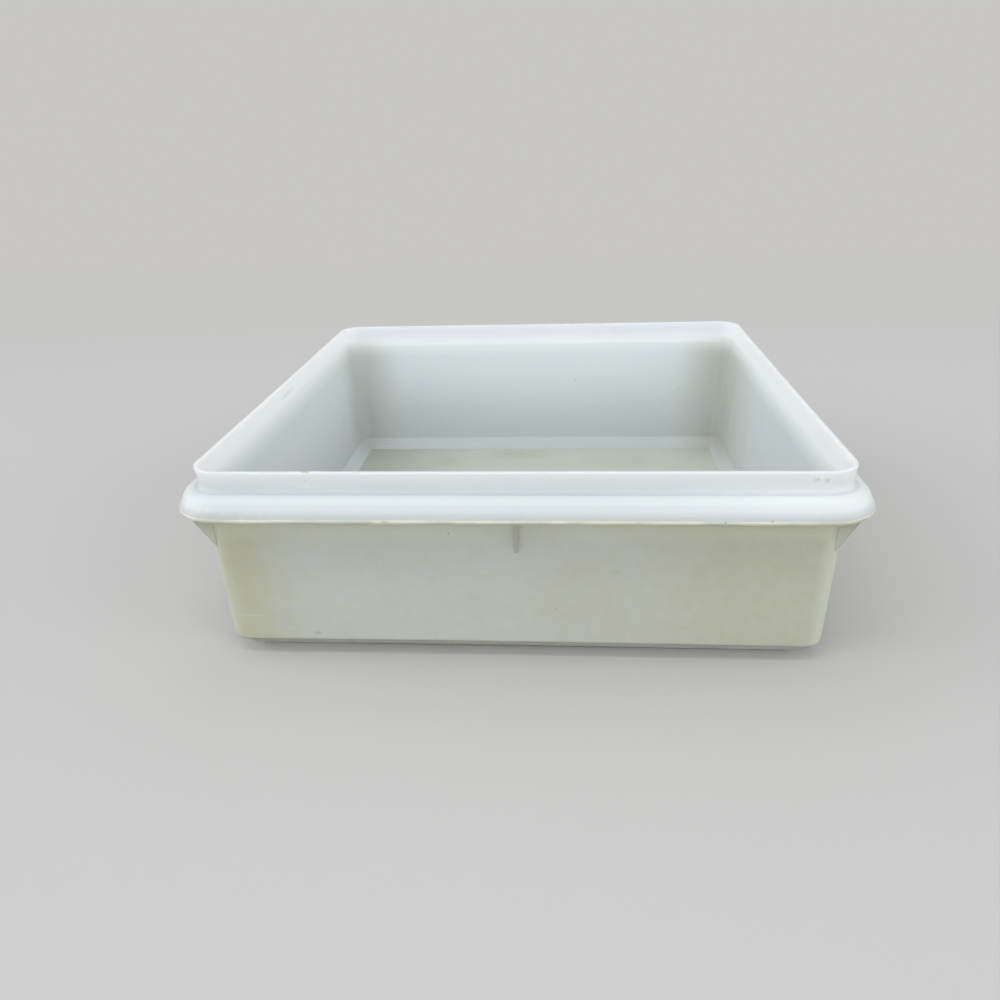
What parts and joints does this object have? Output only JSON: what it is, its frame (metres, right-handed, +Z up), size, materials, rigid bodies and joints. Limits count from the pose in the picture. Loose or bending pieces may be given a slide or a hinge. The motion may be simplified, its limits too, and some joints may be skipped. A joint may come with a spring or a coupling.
{
  "type": "food storage tub",
  "caption": "Open square plastic food tub with a bevelled base, drafted walls, an upright lid rim and a hooked flange braced by gusset ribs.",
  "frame": {"origin": "on the table plane, under the middle of the tub", "axes": "+Z up, front towards -Y, +X to the right seen from the front"},
  "size_m": [0.253, 0.253, 0.0803],
  "materials": {
    "floor": "satin polyethylene, scuffed and slightly stained",
    "wall": "satin polyethylene, aged to ivory",
    "collar": "satin white polyethylene",
    "rib": "satin polyethylene, aged to ivory"
  },
  "bodies": {
    "root": {"floor_panel": "floor", "base_bevel": "wall", "wall_front": "wall", "wall_back": "wall", "wall_left": "wall", "wall_right": "wall", "flange": "collar", "skirt": "collar", "rim": "collar", "rib_front": "rib", "rib_back": "rib", "rib_left": "rib", "rib_right": "rib", "rib_front_left": "rib", "rib_front_right": "rib", "rib_back_left": "rib", "rib_back_right": "rib"}
  },
  "joints": []
}
